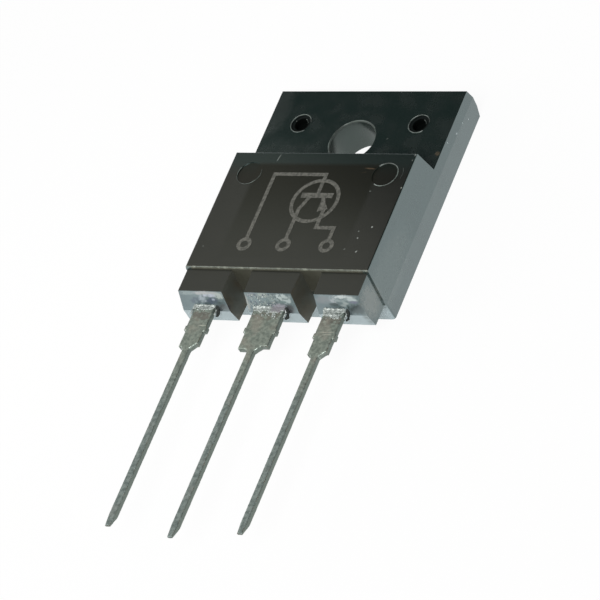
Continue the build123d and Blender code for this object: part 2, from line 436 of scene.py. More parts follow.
@dataclass(frozen=True)
class Finish:
    """A surface of two mixed tones with grain in its colour, gloss and relief, and layers over it."""

    name: str
    tone: str
    other_tone: str
    mottle: Grain
    relief: tuple[Grain, ...]
    roughness: tuple[float, float]
    metallic: float = 0.0
    ior: float = 1.5
    tint: str = "#ffffff"
    coat: float = 0.0
    coat_roughness: float = 0.3
    layers: tuple[Layer, ...] = ()

    def mottled(self, shader: Shader, first: str, second: str | None = None) -> object:
        """A tone, or two of them mixed in the surface's own mottling.

        Args:
            shader: Shader that takes the nodes.
            first: Hex colour.
            second: Hex colour, if there are two.

        Returns:
            The colour, or the socket that gives it.
        """
        if second is None:
            return linear(first)
        share = shader.read(Limit(self.mottle, *NOISE_SWING))
        return shader.over(share, linear(first), linear(second))

    def bumps(self, shader: Shader) -> dict[str, Socket]:
        """Relief of every grain, one on the other.

        Args:
            shader: Shader that takes the nodes.

        Returns:
            The bumped normal under its input's name.
        """
        normal = {}
        for grain in self.relief:
            height = {"Height": shader.read(grain), "Strength": 1.0, "Distance": grain.height_mm * MM}
            normal = {"Normal": shader.add("ShaderNodeBump", inputs=height | normal).outputs["Normal"]}
        return normal

    def material(self) -> bpy.types.Material:
        """Builds the material, with every layer in turn over its colour, tint and gloss.

        Returns:
            The finished material, under the finish's own name.
        """
        material = empty_material(self.name)
        shader = Shader(material.node_tree)
        colour = self.mottled(shader, self.tone, self.other_tone)
        tint = linear(self.tint)
        gloss = shader.read(Limit(self.mottle, *NOISE_RANGE, *self.roughness))
        for layer in self.layers:
            share = layer.share(shader)
            if layer.tones:
                colour = shader.over(share, colour, self.mottled(shader, *layer.tones))
            if layer.tint:
                tint = shader.over(share, tint, linear(layer.tint))
            if layer.roughness:
                inputs = {0: share, 2: gloss, 3: layer.roughness}
                gloss = shader.add("ShaderNodeMix", inputs=inputs).outputs[0]
        inputs = {
            "Base Color": colour,
            "Roughness": gloss,
            "Metallic": self.metallic,
            "IOR": self.ior,
            "Specular Tint": tint,
            "Coat Weight": self.coat,
            "Coat Roughness": self.coat_roughness,
        }
        surface = shader.add("ShaderNodeBsdfPrincipled", inputs=inputs | self.bumps(shader))
        shader.add("ShaderNodeOutputMaterial", inputs={"Surface": surface.outputs["BSDF"]})
        return material


# Zones of the moulded case, in millimetres from the screw hole's middle on the back face. First
# the fronts of the block and the stand-offs, the part of them that was handled, the field that was
# cleaned for the marking, with painted shade that dims it towards its top, the ejector marks and a
# painted highlight along the lower edge.
FRONTS = (Limit(Z, 3.6, 4.2), Limit(UP, 0.6, 0.9))
HANDLED = (*FRONTS, Limit(Y, -3.6, -5.2))
FIELD = (
    *FRONTS,
    Limit(X, -5.5, -4.96),
    Limit(X, 5.3, 4.76),
    Limit(Y, -12.8, -12.35),
    Limit(Y, -3.8, -4.25),
    # The field's share fades downwards: painted shade, strongest at the top.
    Limit(Y, -12.8, -5.6, 0.25),
)
EJECTORS = (*FRONTS, below(Around(EJECTOR), EJECTOR_RADIUS))
# A painted highlight along the block's lower front edge, broken unevenly by a grain.
UNEVEN_HIGHLIGHT = Limit(Grain(0.45, detail=3.0), 0.45, 0.7, 0.35)
EDGE_HIGHLIGHT_LINE = (above(Y, -13.49), below(Y, -13.39), above(Z, 4.85), UNEVEN_HIGHLIGHT)
# The slots between the stand-offs, and the ends: all that faces the leads, and the heels. The ends
# are partly the solder bath's haze and partly painted light from the pale floor, most on the heels
# and under them.
SLOTS = (above(X, -7.2), below(X, 7.2), below(Y, -13.45))
HIGH_IN_SLOTS = (*SLOTS, Limit(Z, 2.7, 3.3))
RIGHT_IN_SLOTS = (*SLOTS, Limit(RIGHT, 0.0, 1.0))
ENDWISE = Limit(AHEAD, 0.5, 0.8)
LEAD_ENDS = (below(Y, -15.35), ENDWISE)
HEELS = (*LEAD_ENDS, below(Z, 3.1))
UNDER_HEELS = (below(Y, -13.5), ENDWISE, below(Z, 2.7))
# The screw hole's wall, with painted shade that tints its reflection dimmer; the rim, where a flat
# mid grey is painted over the chamfer's highlight and its reflection is tinted dark; and the blind
# holes that the header's pins left, painted near black as the shade inside them.
BORE_SHADE = (below(Around(HOLE), 1.83), below(Z, 2.7))
RIM_PAINTED_GREY = (above(Around(HOLE), 1.79), below(Around(HOLE), 1.89), above(Z, 2.67))
PIN_HOLE_SHADE = (below(Around(PIN), 0.85), below(Z, 2.74), Limit(Around(PIN), 0.62, 0.56, 0.9))
SLOT_TONES, SLOT_TINT = ("#4b4d47", "#4b463b"), "#9a9c95"
HAZE_AND_FLOOR_LIGHT = "#8d989c"
DULLED = 0.32  # roughness where the mould's gloss is gone

# Silica-filled epoxy from a spark-eroded steel mould: near black, satin, with a very fine grain.
# The grain is drawn at 0.16 mm, coarser than the real 0.03 mm, so that it shows. The fronts are
# duller where they were handled and warmest in the field that was cleaned for the marking, whose
# reflection is painted dimmer towards its top. The slots keep the mould's dull skin. The ends by
# the leads carry the haze of the solder bath and painted light from the pale floor, and some marks
# are painted shadows, shade or highlights. A later layer covers an earlier one.
EPOXY = Finish(
    name="epoxy_moulding_compound",
    tone="#14201d",
    other_tone="#151d1a",
    mottle=Grain(1.6, detail=4.0),
    relief=(Grain(0.16, 0.0022, 3.0), Grain(1.1, 0.0025)),
    roughness=(0.2, 0.3),
    ior=2.4,
    tint="#e6fdff",
    layers=(
        Layer(HIGH_IN_SLOTS, SLOT_TONES, SLOT_TINT, DULLED),
        Layer(RIGHT_IN_SLOTS, SLOT_TONES, SLOT_TINT, DULLED),
        Layer((*HIGH_IN_SLOTS, ENDWISE), ("#3a3a32",), "#6e6e65"),
        Layer(FRONTS, ("#0c1614",), "#b8ccca", DULLED),
        Layer(HANDLED, ("#0b0d0b", "#0f100e"), "#c2c7c1"),
        Layer(FIELD, ("#0e0f0b",), "#b0b7ae"),
        # Painted shade: the reflection is tinted dimmer towards the top of the field.
        Layer((*FIELD, Limit(Y, -12.5, -4.5)), tint="#94988e"),
        Layer(EJECTORS, tint="#989a90"),
        # Lighter blue-grey on the ends: partly the bath's haze, partly painted light from the pale floor,
        # most on the heels.
        Layer(LEAD_ENDS, ("#5a6567", "#434c50"), "#e6fdff", 0.3),
        Layer(HEELS, (HAZE_AND_FLOOR_LIGHT,)),
        Layer(UNDER_HEELS, (HAZE_AND_FLOOR_LIGHT,)),
        # Painted highlight along the block's lower front edge.
        Layer(EDGE_HIGHLIGHT_LINE, ("#74776c",)),
        # Painted shade in the screw hole, painted grey over the rim's highlight, painted shade in the pin
        # holes.
        Layer(BORE_SHADE, tint="#a8b6b1"),
        Layer(PIN_HOLE_SHADE, ("#060908",), "#202020", 0.9),
        Layer(RIM_PAINTED_GREY, ("#454b48",), "#202020", 0.6),
        # Scratches and flecks on the marked face, and chips at its upper corner.
        mark((-3.77, -3.45, 5.0), (0.42, 0.05, 0.4), "#6e7471", 0.4, turn=78),
        mark((6.5, -9.6, 5.0), (0.11, 0.1, 0.4), turn=20),
        mark((5.7, -10.6, 5.0), (0.09, 0.09, 0.4)),
        mark((6.05, -11.8, 5.0), (0.13, 0.08, 0.4), turn=60),
        mark((5.1, -6.4, 5.0), (0.1, 0.05, 0.4), "#6e7471", turn=10),
        mark((5.55, -10.0, 5.0), (0.07, 0.09, 0.4), "#6e7471"),
        mark((5.0, -11.6, 5.0), (0.12, 0.05, 0.4), "#6e7471", turn=30),
        mark((4.3, -4.35, 5.0), (0.55, 0.07, 0.4), "#4b3e30", 0.6, turn=-4),
        mark((3.95, -4.7, 5.0), (0.3, 0.05, 0.4), "#3c352b", 0.6, turn=12),
        mark((3.1, -9.9, 5.0), (0.16, 0.04, 0.4), "#565b58", turn=5),
        mark((-6.9, -11.6, 5.0), (0.08, 0.05, 0.4), "#6e7471"),
        mark((-5.6, 1.9, 2.75), (0.08, 0.05, 0.3), "#6e7471"),
        mark((2.9, 0.2, 2.75), (0.12, 0.05, 0.3), "#565b58", turn=30),
        mark((7.75, -9.7, 3.3), (0.3, 0.14, 0.1), "#b4bab6"),
        mark((7.55, -3.1, 5.0), (0.1, 0.18, 0.3), "#6f7672", 0.6),
        mark((7.5, -3.55, 5.0), (0.08, 0.1, 0.3), "#8b908a", 0.7, turn=10),
        mark((7.52, -6.1, 5.0), (0.08, 0.14, 0.3), "#9da299", 0.7),
        mark((7.85, 1.33, 2.0), (0.3, 0.13, 0.06), "#c2cbca"),
        mark((7.85, 0.06, 2.5), (0.3, 0.05, 0.09), "#b4bdbc"),
        mark((7.85, 3.22, 1.32), (0.3, 0.05, 0.14), "#c2cbca", 0.4),
        mark((7.85, 2.44, 1.86), (0.3, 0.05, 0.12), "#aab6b8", 0.4),
        mark((7.58, -1.13, 2.75), (0.26, 0.3, 0.3), "#4a4234", 0.8),
        # Painted light: lighter along the tab's -X edge.
        mark((-7.5, 2.8, 2.75), (1.4, 3.4, 0.3), "#2a302e", 0.3),
        # Painted light: paler along the +X side towards the leads.
        mark((7.85, -12.5, 2.9), (1.0, 6.0, 2.2), "#353a36", 0.3),
        mark((7.8, -14.9, 3.4), (0.9, 1.5, 1.6), "#5b5953", 0.3),
        # Solder haze over the base's end: pale along the top, with bluish dark blotches below, and a
        # painted shadow beside the lead's +X side.
        mark((-5.15, -15.6, 4.6), (2.0, 0.32, 0.25), "#939090", 0.4),
        mark((-6.9, -15.6, 4.58), (1.0, 0.32, 0.24), "#6f7777", 0.4),
        mark((-6.25, -15.75, 3.98), (0.7, 0.45, 0.42), "#2d3241", 0.6),
        mark((-5.0, -15.75, 3.96), (0.7, 0.45, 0.42), "#262c42", 0.7),
        mark((-5.72, -15.72, 4.06), (0.42, 0.5, 0.6), "#80868e", 0.6),
        mark((-4.8, -15.7, 4.06), (0.2, 0.3, 0.16), "#868b99", 0.6),
        mark((-4.95, -15.65, 4.4), (0.9, 0.35, 0.2), "#9a9ca8", 0.6),
        mark((-4.2, -15.65, 4.42), (0.55, 0.38, 0.42), "#969c98", 0.5),
        mark((-5.5, -15.8, 3.74), (0.5, 0.4, 0.13), "#1c2830", 0.4),
        mark((-4.35, -15.8, 3.82), (0.3, 0.4, 0.15), "#2c3438", 0.3),
        # Painted shadow beside the base lead's +X side.
        mark((-4.1, -15.85, 3.4), (0.7, 0.45, 0.45), "#383638", 0.3),
        # Over the collector's end: a pale crust at its upper right, violet beside the lead, and a painted
        # shadow beside its +X side.
        mark((-2.0, -15.75, 4.0), (0.24, 0.6, 1.1), "#7f7d78", 0.3),
        mark((-1.4, -15.62, 4.6), (0.6, 0.32, 0.24), "#6b6774", 0.4),
        mark((-0.45, -15.62, 4.58), (0.85, 0.32, 0.26), "#7f837c", 0.5),
        mark((0.5, -15.7, 4.25), (0.8, 0.45, 0.45), "#778282", 0.8),
        mark((1.1, -15.65, 4.48), (0.95, 0.38, 0.42), "#9fa7a6", 0.8),
        mark((1.4, -15.72, 4.18), (0.5, 0.45, 0.4), "#959e9d", 0.8),
        mark((1.0, -15.72, 4.02), (0.5, 0.4, 0.14), "#5a6868", 0.5),
        mark((0.6, -15.8, 3.7), (0.8, 0.45, 0.3), "#86838a", 0.4),
        # Painted shadow beside the collector lead's +X side.
        mark((1.5, -15.85, 3.5), (0.55, 0.45, 0.5), "#3a373a", 0.4),
        # Over the emitter's end: a pale band along the top, dark patches above the lead painted as the
        # shade of hollows, and painted shadows beside its +X side.
        mark((4.5, -15.7, 4.4), (1.0, 0.45, 0.55), "#5e5e61", 0.3),
        mark((5.35, -15.68, 4.38), (0.45, 0.4, 0.5), "#84878a", 0.7),
        mark((6.3, -15.6, 4.6), (1.35, 0.32, 0.26), "#a8adac", 0.5),
        mark((6.75, -15.65, 4.4), (0.85, 0.38, 0.26), "#9ba3a3", 0.6),
        mark((5.9, -15.7, 4.27), (0.75, 0.4, 0.2), "#768080", 0.6),
        # Painted shade of hollows above the emitter lead.
        mark((5.25, -15.75, 3.95), (0.5, 0.4, 0.2), "#141a1d", 0.6),
        mark((5.75, -15.8, 3.8), (0.5, 0.4, 0.16), "#2c3638", 0.6),
        mark((6.3, -15.75, 4.07), (0.34, 0.4, 0.16), "#848b8a", 0.5),
        mark((6.0, -15.8, 3.88), (0.34, 0.4, 0.15), "#848b8a", 0.5),
        mark((6.95, -15.7, 4.18), (0.5, 0.4, 0.17), "#605f70", 0.4),
        # Painted shadows beside the emitter lead's +X side.
        mark((7.0, -15.85, 3.6), (0.95, 0.5, 0.6), "#1b1b1e", 0.3),
        mark((6.38, -15.82, 3.78), (0.16, 0.3, 0.3), "#12191b", 0.2),
    ),
)

# Tin-lead solder, hot dipped and cooled in air: a dull grey with a faint green cast and a frosty
# skin of crystals about 0.1 mm across, thin and dark on the strip's sheared edges. Where the dam
# bar was cut off, a bright line runs across. Marks come first, then a faint blush, the cooler thin
# ends, painted shade on the shoulders and tips that face along -Y to hold down their highlights,
# and the sheared sides.
DIP_MOTTLE = Grain(0.3, detail=5.0)
HOT_DIP = Finish(
    name="hot_dipped_solder",
    tone="#b5c1b8",
    other_tone="#909b93",
    mottle=DIP_MOTTLE,
    relief=(Grain(0.09, 0.006, 4.0), Grain(0.45, 0.012)),
    roughness=(0.42, 0.6),
    metallic=1.0,
    layers=(
        mark((-5.15, -17.6, 3.57), (0.5, 0.05, 0.4), "#dfe3d8"),
        mark((5.35, -17.85, 3.57), (0.75, 0.06, 0.4), "#dfe3d8"),
        mark((5.5, -18.05, 3.57), (0.5, 0.05, 0.4), "#dfe3d8"),
        # Scuffed and tan for the first 0.7 mm, where the mould's edge gripped the strip.
        mark((-0.15, -16.5, 3.6), (1.7, 0.6, 0.3), "#94968d", 0.9),
        mark((5.4, -16.75, 3.6), (1.2, 0.55, 0.3), "#93948c", 0.9),
        mark((-5.6, -16.7, 3.6), (1.1, 0.6, 0.3), "#93938c", 0.7),
        Layer((Limit(Grain(1.3, detail=3.0), 0.5, 0.7, most=0.5),), ("#bdb8ae",)),
        Layer((Limit(Y, -19.0, -26.0, most=0.6),), ("#a7b7ba", "#7a898b")),
        # Painted shade: darker where the surface faces -Y, on the shoulders and the tips, to hold down
        # their highlights.
        Layer((Limit(AHEAD, 0.4, 0.8, most=0.8),), ("#6d756f",)),
        Layer((Limit(Sideways(DIP_MOTTLE), 0.7, 1.05),), ("#7d8780",), roughness=0.62),
    ),
)

# Solder that ran to the epoxy and froze in a film and beads: whiter than the dip, and frosted by
# the flux that dried on it, so it scatters about half of its light.
BEADED_SOLDER = Finish(
    name="beaded_solder",
    tone="#bac1be",
    other_tone="#838a87",
    mottle=Grain(0.2, detail=5.0),
    relief=(Grain(0.07, 0.004, 4.0),),
    roughness=(0.4, 0.6),
    metallic=0.45,
    layers=(mark((0.6, -15.95, 3.6), (0.9, 0.5, 0.5), "#929095", 0.4),),
)

# Solder haze and flux left on the moulded end faces: a thin, cloudy crust with bluish dark spots.
FLUX_CRUST = Finish(
    name="flux_crust",
    tone="#75817f",
    other_tone="#4c5861",
    mottle=Grain(0.28, detail=5.0),
    relief=(Grain(0.08, 0.008, 4.0),),
    roughness=(0.25, 0.5),
    coat=0.5,
    coat_roughness=0.25,
)

# A matt, nearly black lump beside each lead's +X side: a painted shadow in the form of charred flux.
ROOT_SHADOW_BLACK = Finish(
    name="painted_root_shadow",
    tone="#262a29",
    other_tone="#3b3f3d",
    mottle=Grain(0.1, detail=3.0),
    relief=(Grain(0.06, 0.01, 3.0),),
    roughness=(0.75, 0.9),
    ior=1.25,
)

# Flash: the hair-thin epoxy that crept into the mould's joints, rubbed pale.
FLASH = Finish(
    name="epoxy_flash",
    tone="#68726d",
    other_tone="#343a37",
    mottle=Grain(0.7, detail=3.0),
    relief=(Grain(0.1, 0.002, 3.0),),
    roughness=(0.35, 0.5),
)

# Grey marking ink, thin and a little worn.
MARKING_INK = Finish(
    name="marking_ink",
    tone="#63635d",
    other_tone="#494a45",
    mottle=Grain(0.22, detail=5.0),
    relief=(Grain(0.1, 0.002, 3.0),),
    roughness=(0.5, 0.7),
)

# Copper strip under the dip: it shows only where the solder is broken.
LEAD_FRAME_COPPER = Finish(
    name="lead_frame_copper",
    tone="#8f8d80",
    other_tone="#7c7568",
    mottle=Grain(0.4, detail=4.0, stretch=(1.0, 0.2, 1.0)),
    relief=(Grain(0.08, 0.003, 3.0, (1.0, 0.1, 1.0)),),
    roughness=(0.3, 0.45),
    metallic=1.0,
)

# High-lead die solder: dull, wavy and grey.
DIE_SOLDER = Finish(
    name="high_lead_solder",
    tone="#85888a",
    other_tone="#6c6e71",
    mottle=Grain(0.5, detail=4.0),
    relief=(Grain(0.2, 0.006, 3.0),),
    roughness=(0.35, 0.5),
    metallic=1.0,
)

# Passivated silicon: dark, very smooth, with a faint blue cast.
SILICON = Finish(
    name="passivated_silicon",
    tone="#3a4152",
    other_tone="#343a46",
    mottle=Grain(0.8, detail=2.0),
    relief=(Grain(0.3, 0.0004, 2.0),),
    roughness=(0.08, 0.16),
    ior=2.0,
)

# Drawn aluminium bond wire: bright, with fine lines along it.
BOND_WIRE = Finish(
    name="drawn_aluminium_wire",
    tone="#d6d8da",
    other_tone="#bfc2c5",
    mottle=Grain(0.15, detail=3.0),
    relief=(Grain(0.05, 0.001, 3.0),),
    roughness=(0.22, 0.32),
    metallic=1.0,
)


# --- Bench tools ------------------------------------------------------------------------------
def deselect() -> None:
    """Puts every tool down: nothing is selected afterwards."""
    if bpy.context.object and bpy.context.object.mode != "OBJECT":
        bpy.ops.object.mode_set(mode="OBJECT")
    bpy.ops.object.select_all(action="DESELECT")


def take_up(piece: bpy.types.Object) -> None:
    """Makes one piece the only selected and active object."""
    deselect()
    piece.select_set(True)
    bpy.context.view_layer.objects.active = piece


@contextmanager
def shaping(piece: bpy.types.Object) -> Iterator[None]:
    """Opens a piece in edit mode with all of it selected, and closes it afterwards.

    Args:
        piece: The piece to shape.

    Yields:
        Nothing, while the piece is open.
    """
    take_up(piece)
    bpy.ops.object.mode_set(mode="EDIT")
    bpy.ops.mesh.select_all(action="SELECT")
    yield
    bpy.ops.object.mode_set(mode="OBJECT")


def add_block(low: Vector, high: Vector, turn: float = 0.0) -> bpy.types.Object:
    """Adds a block between two corners.

    Args:
        low: Lowest corner in millimetres.
        high: Highest corner in millimetres.
        turn: Degrees about the vertical through its middle.

    Returns:
        The block, with its size applied.
    """
    deselect()
    size = high - low
    bpy.ops.mesh.primitive_cube_add(size=1, location=(low + high) / 2)
    block = bpy.context.object
    block.scale = size
    block.rotation_euler = (0, 0, math.radians(turn))
    bpy.ops.object.transform_apply(location=True, rotation=True, scale=True)
    return block


def copy_solid(name: str) -> bpy.types.Object:
    """Copies a solid onto the bench, with its loose triangles merged.

    Args:
        name: The solid's node.

    Returns:
        The copy, in millimetres.
    """
    mesh = frame["nodes"][name].data.copy()
    mesh.transform(Matrix.Scale(1 / MM, 4))
    copy = bpy.data.objects.new(name, mesh)
    bpy.context.scene.collection.objects.link(copy)
    with shaping(copy):
        bpy.ops.mesh.remove_doubles(threshold=1e-4)
    return copy


def between(span: Point, share: float) -> float:
    """Value at a share of the way from a span's first value to its second."""
    return span[0] + (span[1] - span[0]) * share


def placed(place: Vector, size: Vector, turn: float = 0.0) -> Matrix:
    """Place, size and turn about the vertical of a copy, in millimetres and degrees."""
    return Matrix.LocRotScale(place, Euler((0, 0, math.radians(turn))), size)


def scatter_balls(placements: list[Matrix]) -> bpy.types.Object:
    """Copies a small ball to every place and joins the copies.

    Args:
        placements: Place, size and turn of every copy.

    Returns:
        All the copies as one piece, in millimetres.
    """
    deselect()
    bpy.ops.mesh.primitive_ico_sphere_add(subdivisions=2, radius=1)
    ball = bpy.context.object
    copies = []
    for placement in placements:
        mesh = ball.data.copy()
        mesh.transform(placement)
        copy = bpy.data.objects.new("ball", mesh)
        bpy.context.scene.collection.objects.link(copy)
        copies.append(copy)
    bpy.data.objects.remove(ball)
    return join(copies)


def join(pieces: list[bpy.types.Object]) -> bpy.types.Object:
    """Joins pieces into the first of them.

    Args:
        pieces: The pieces, in millimetres.

    Returns:
        The one piece that is left.
    """
    take_up(pieces[0])
    for piece in pieces[1:]:
        piece.select_set(True)
    if len(pieces) > 1:
        bpy.ops.object.join()
    return bpy.context.object


def apply_modifier(piece: bpy.types.Object, kind: str, **settings: object) -> None:
    """Adds a modifier and applies it at once.

    Args:
        piece: The piece to change.
        kind: Blender's name for the modifier.
        **settings: The modifier's own settings.
    """
    take_up(piece)
    modifier = piece.modifiers.new(kind.lower(), kind)
    for name, value in settings.items():
        setattr(modifier, name, value)
    bpy.ops.object.modifier_apply(modifier=modifier.name)


def roughen(piece: bpy.types.Object, size: float, height: float, middle: float = 0.5) -> None:
    """Gives a surface soft uneven relief.

    Args:
        piece: The piece to change.
        size: Width of the lumps in millimetres.
        height: Their height in millimetres.
        middle: Share of the relief that lies inwards.
    """
    lumps = bpy.data.textures.new(f"{piece.name}_lumps", "CLOUDS")
    lumps.noise_scale = size
    lumps.noise_depth = 2
    apply_modifier(
        piece,
        "DISPLACE",
        texture=lumps,
        texture_coords="LOCAL",
        strength=height,
        mid_level=middle,
    )


def finish_piece(
    piece: bpy.types.Object, name: str, finish: Finish, smooth_angle: float = 60.0
) -> bpy.types.Object:
    """Brings a piece off the bench into the frame, dresses it and lets it ride on the part.

    Args:
        piece: The piece, in millimetres.
        name: Its name in the scene.
        finish: The finish it gets.
        smooth_angle: Degrees under which faces shade as one surface.

    Returns:
        The finished piece, in metres.
    """
    with shaping(piece):
        bpy.ops.mesh.remove_doubles(threshold=1e-5)
        bpy.ops.mesh.normals_make_consistent(inside=False)
    piece.data.transform(Matrix.Scale(MM, 4))
    bpy.ops.object.shade_smooth_by_angle(angle=math.radians(smooth_angle))
    piece.name = name
    piece.data.name = name
    piece.data.materials.clear()
    piece.data.materials.append(finish_material(finish))
    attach(piece, BODY)
    log.info("%s: %d faces", name, len(piece.data.polygons))
    return piece


def finish_material(finish: Finish) -> bpy.types.Material:
    """The finish's material, built once and then shared."""
    return bpy.data.materials.get(finish.name) or finish.material()


# --- Leads ------------------------------------------------------------------------------------
class Lead(Enum):
    """The three leads: what each joins, the solid that holds it and its root's width."""

    BASE = ("base", "base_lead", 1.62)
    COLLECTOR = ("collector", "collector_frame", 2.48)
    EMITTER = ("emitter", "emitter_lead", 1.62)

    @property
    def label(self) -> str:
        """Word that the names of its pieces start with."""
        return self.value[0]

    @property
    def solid(self) -> str:
        """The solid that the lead belongs to."""
        return self.value[1]

    @property
    def half_width(self) -> float:
        """Half the width where the lead leaves the case, in millimetres."""
        return self.value[2] / 2

    @property
    def middle(self) -> float:
        """Middle of the root across the case: the slender length lies off it."""
        return mount_place(f"{self.label}_lead_tip").x + NECK_SHIFT


@dataclass
class EndFace:
    """The sloping face of the stand-offs that the leads come out of."""

    draft: float = 17.0
    ridge_height: float = 3.1
    ridge_y: float = field(default_factory=lambda: node_box("moulded_case")[0].y)

    def y_at(self, height: float) -> float:
        """Where the face lies at a height above the back face."""
        return self.ridge_y + (height - self.ridge_height) * math.tan(math.radians(self.draft))


@dataclass
class SolderDip:
    """The solder coat on the outer length of one lead."""

    lead: Lead
    face: EndFace
    coat: float = 0.02
    burial: float = 0.16
    voxel: float = 0.045
    lump_size: float = 0.3
    lump_height: float = 0.045

    def build(self) -> bpy.types.Object:
        """Cuts a copy of the lead free of the case and swells it by the coat.

        Returns:
            The finished coat.
        """
        body = copy_solid(self.lead.solid)
        cut = (0, self.face.ridge_y + self.burial, 0)
        with shaping(body):
            bpy.ops.mesh.bisect(plane_co=cut, plane_no=(0, 1, 0), use_fill=True, clear_outer=True)
        apply_modifier(body, "REMESH", mode="VOXEL", voxel_size=self.voxel)
        apply_modifier(body, "SMOOTH", factor=0.5, iterations=2)
        apply_modifier(body, "DISPLACE", strength=self.coat, mid_level=0.0)
        roughen(body, self.lump_size, self.lump_height, middle=0.4)
        return finish_piece(body, f"{self.lead.label}_lead_solder_dip", HOT_DIP)


@dataclass
class RootSolder:
    """Pale solder that froze where a lead leaves the epoxy: a film, beads, arms and strands."""

    lead: Lead
    face: EndFace
    film: float
    left_arm: float
    beads: int = 12
    bead_size: float = 0.09
    bead_span: Point = (-1.0, 1.0)
    right_arm: tuple[Point3, ...] = ((0.04, 0.1, 3.55), (0.1, -0.1, 3.35), (0.06, -0.5, 3.3))
    arm_size: float = 0.07
    crumbs: int = 10
    crumb_run: float = 0.1
    crumb_sizes: Point = (0.03, 0.07)
    strands: int = 0
    strand_span: Point = (-0.5, 1.0)
    strand_length: float = 0.8
    strand_turn: Point = (-59.0, -28.0)
    cell: float = 0.08
    voxel: float = 0.03
    lump_size: float = 0.1
    lump_height: float = 0.025

    def arm(self, dice: random.Random, start: Vector, end: Vector) -> list[Matrix]:
        """Small balls set close along a line.

        Args:
            dice: Source of chance.
            start: One end in millimetres.
            end: The other end.

        Returns:
            Their placements, uneven in size.
        """
        count = math.ceil((end - start).length / (self.arm_size * 0.7))
        placements = []
        for step in range(count):
            radius = self.arm_size * dice.uniform(0.8, 1.2)
            place = start.lerp(end, (step + dice.random()) / count)
            placements.append(placed(place, Vector((radius, radius, radius * 0.9))))
        return placements

    def at(self, share: float, run: float, rise: float = 0.02) -> Vector:
        """A place on the lead's front, by its share of the half width and its way from the case."""
        across = self.lead.middle + self.lead.half_width * share
        return Vector((across, self.face.y_at(LEAD_FRONT) - run, LEAD_FRONT + rise))

    def spread_film(self, dice: random.Random) -> list[Matrix]:
        """Flat drops that cover the lead's front beside the case, out to an uneven edge.

        Args:
            dice: Source of chance.

        Returns:
            Their placements.
        """
        columns = math.ceil(2 * self.lead.half_width / self.cell)
        placements = []
        reach = self.film
        for column in range(columns + 1):
            share = 2 * column / columns - 1
            reach = min(max(reach + dice.uniform(-0.1, 0.1), self.film * 0.5), self.film)
            for row in range(math.ceil(reach / self.cell) + 1):
                place = self.at(share, row * self.cell + dice.uniform(-0.02, 0.02), 0.03)
                flat = self.cell * dice.uniform(0.8, 1.1)
                placements.append(placed(place, Vector((flat, flat, flat * 0.55))))
        return placements

    def drop_beads(self, dice: random.Random) -> list[Matrix]:
        """Beads along the corner between the end face and the lead, and crumbs beyond it.

        Args:
            dice: Source of chance.

        Returns:
            Their placements.
        """
        placements = []
        for number in range(self.beads):
            share = between(self.bead_span, (number + dice.uniform(0.2, 0.8)) / self.beads)
            size = self.bead_size * dice.uniform(0.7, 1.25)
            place = self.at(share, dice.uniform(-0.02, 0.06), 0.06)
            placements.append(placed(place, Vector((size, size, size))))
        for _ in range(self.crumbs):
            size = dice.uniform(*self.crumb_sizes)
            place = self.at(dice.uniform(-0.95, 0.95), self.film + self.crumb_run * dice.random())
            placements.append(placed(place, Vector((size, size * 1.3, size * 0.8))))
        return placements

    def pull_strands(self, dice: random.Random) -> list[Matrix]:
        """Thin ridges drawn askew down the lead's front as the solder froze.

        Args:
            dice: Source of chance.

        Returns:
            Their placements.
        """
        placements = []
        for number in range(self.strands):
            part = (number + 0.5) / self.strands
            turn = between(self.strand_turn, part)
            run = self.strand_length * dice.uniform(0.7, 1.0) / 2
            lean = math.radians(turn)
            reach = Vector((math.sin(lean), -math.cos(lean), 0)) * run
            place = self.at(between(self.strand_span, part), self.film * 0.75, 0.05) + reach
            placements.append(placed(place, Vector((0.045, run, 0.06)), turn))
        return placements

    def build(self) -> bpy.types.Object:
        """Builds the solder at one root.

        Returns:
            The finished piece, fused into one lumpy mass.
        """
        dice = random.Random(f"{SEED} {self.lead.label}")
        placements = self.spread_film(dice) + self.drop_beads(dice) + self.pull_strands(dice)
        left = self.at(-1.0, 0.0, 0.05) - Vector((0.05, 0, 0))
        placements += self.arm(dice, left, left - Vector((0.02, self.left_arm, 0)))
        corner = Vector((self.at(1.0, 0.0).x, self.face.ridge_y, 0))
        for start, end in zip(self.right_arm, self.right_arm[1:]):
            placements += self.arm(dice, corner + Vector(start), corner + Vector(end))
        mass = scatter_balls(placements)
        apply_modifier(mass, "REMESH", mode="VOXEL", voxel_size=self.voxel)
        roughen(mass, self.lump_size, self.lump_height)
        return finish_piece(mass, f"{self.lead.label}_root_solder", BEADED_SOLDER)


@dataclass
class CharredCorner:
    """A matt black lump down the +X side of a lead's root, out from the end face: a painted shadow."""

    lead: Lead
    face: EndFace
    path: tuple[Point3, ...] = ((0.15, 0.1, 3.5), (0.18, -0.05, 3.2), (0.18, -0.3, 3.05), (0.1, -0.5, 3.1))
    size: float = 0.13
    voxel: float = 0.025
    lump_size: float = 0.14
    lump_height: float = 0.09

    def build(self) -> bpy.types.Object:
        """Piles small lumps along the side.

        Returns:
            The finished piece, fused into one mass.
        """
        dice = random.Random(f"{SEED} {self.lead.label} charred")
        corner = Vector((self.lead.middle + self.lead.half_width, self.face.ridge_y, 0))
        placements = []
        for start, end in zip(map(Vector, self.path), map(Vector, self.path[1:])):
            count = math.ceil((end - start).length / (self.size * 0.6))
            for step in range(count):
                place = corner + start.lerp(end, step / count)
                size = self.size * dice.uniform(0.6, 1.2)
                placements.append(placed(place, Vector((size, size, size))))
        mass = scatter_balls(placements)
        apply_modifier(mass, "REMESH", mode="VOXEL", voxel_size=self.voxel)
        roughen(mass, self.lump_size, self.lump_height)
        return finish_piece(mass, f"{self.lead.label}_painted_root_shadow", ROOT_SHADOW_BLACK)


